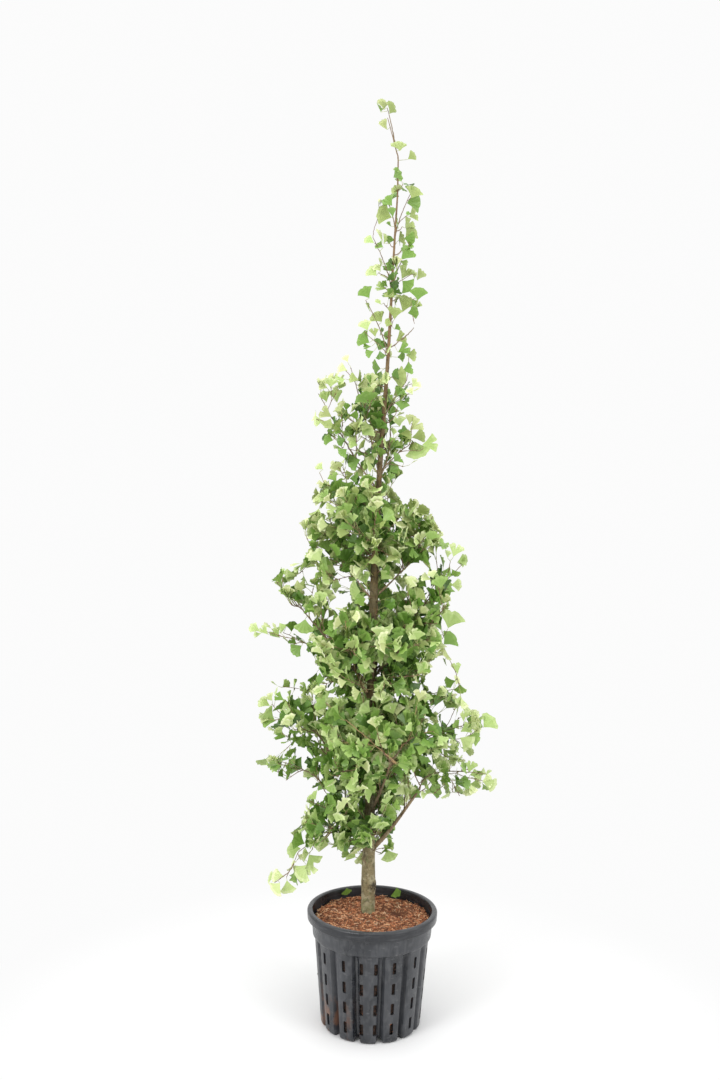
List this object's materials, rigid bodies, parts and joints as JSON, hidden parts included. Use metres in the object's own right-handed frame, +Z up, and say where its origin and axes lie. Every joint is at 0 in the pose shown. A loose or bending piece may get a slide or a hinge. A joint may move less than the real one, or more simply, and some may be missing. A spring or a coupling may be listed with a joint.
{
  "type": "potted columnar ginkgo tree",
  "caption": "Young columnar ginkgo with fan-shaped leaves and one slender leader, in a round lobed nursery pot with vertical slots.",
  "frame": {"origin": "centre of the flat underside of the pot, on the surface that it stands on", "axes": "+Z up along the trunk; -Y towards the front of the tree, the side that the picture shows; +X to the right of that view"},
  "size_m": [0.7573, 0.5294, 2.8169],
  "materials": {
    "pot_plastic": "dusty matte black moulded plastic",
    "mulch": "rough reddish brown bark mulch over compost",
    "bark": "grey-brown ridged bark",
    "foliage": "soft satin green leaves, paler at the shoot tips"
  },
  "bodies": {
    "root": {"bough_back_mid": "bark", "bough_front_fork": "bark", "bough_front_left_arm": "bark", "bough_front_right_arm": "bark", "bough_left_1_1": "bark", "bough_left_1_3": "bark", "bough_left_1_4": "bark", "bough_left_1_8": "bark", "bough_left_droop": "bark", "bough_left_low": "bark", "bough_left_mid": "bark", "bough_left_tip": "bark", "bough_right_1_2": "bark", "bough_right_1_5": "bark", "bough_right_1_8": "bark", "bough_right_2_2": "bark", "bough_right_low": "bark", "bough_right_mid": "bark", "leaves_back_1_1": "foliage", "leaves_back_1_5": "foliage", "leaves_back_1_8": "foliage", "leaves_back_low": "foliage", "leaves_back_mid": "foliage", "leaves_front_1_0": "foliage", "leaves_front_1_5": "foliage", "leaves_front_left_arm": "foliage", "leaves_front_low": "foliage", "leaves_front_low_left": "foliage", "leaves_front_mid": "foliage", "leaves_front_right_1_1": "foliage", "leaves_front_right_arm": "foliage", "leaves_left_1_1": "foliage", "leaves_left_1_3": "foliage", "leaves_left_1_4": "foliage", "leaves_left_1_5": "foliage", "leaves_left_1_6": "foliage", "leaves_left_1_8": "foliage", "leaves_left_2_1": "foliage", "leaves_left_2_3": "foliage", "leaves_left_2_5": "foliage", "leaves_left_droop": "foliage", "leaves_left_inner_1_8": "foliage", "leaves_left_low": "foliage", "leaves_left_mid": "foliage", "leaves_left_tip": "foliage", "leaves_right_1_0": "foliage", "leaves_right_1_1": "foliage", "leaves_right_1_2": "foliage", "leaves_right_1_5": "foliage", "leaves_right_1_8": "foliage", "leaves_right_1_9": "foliage", "leaves_right_2_2": "foliage", "leaves_right_2_3": "foliage", "leaves_right_2_5": "foliage", "leaves_right_low": "foliage", "leaves_right_mid": "foliage", "leaves_tip_tuft": "foliage", "pot": "pot_plastic", "root_ball": "mulch", "trunk": "bark"}
  },
  "joints": []
}
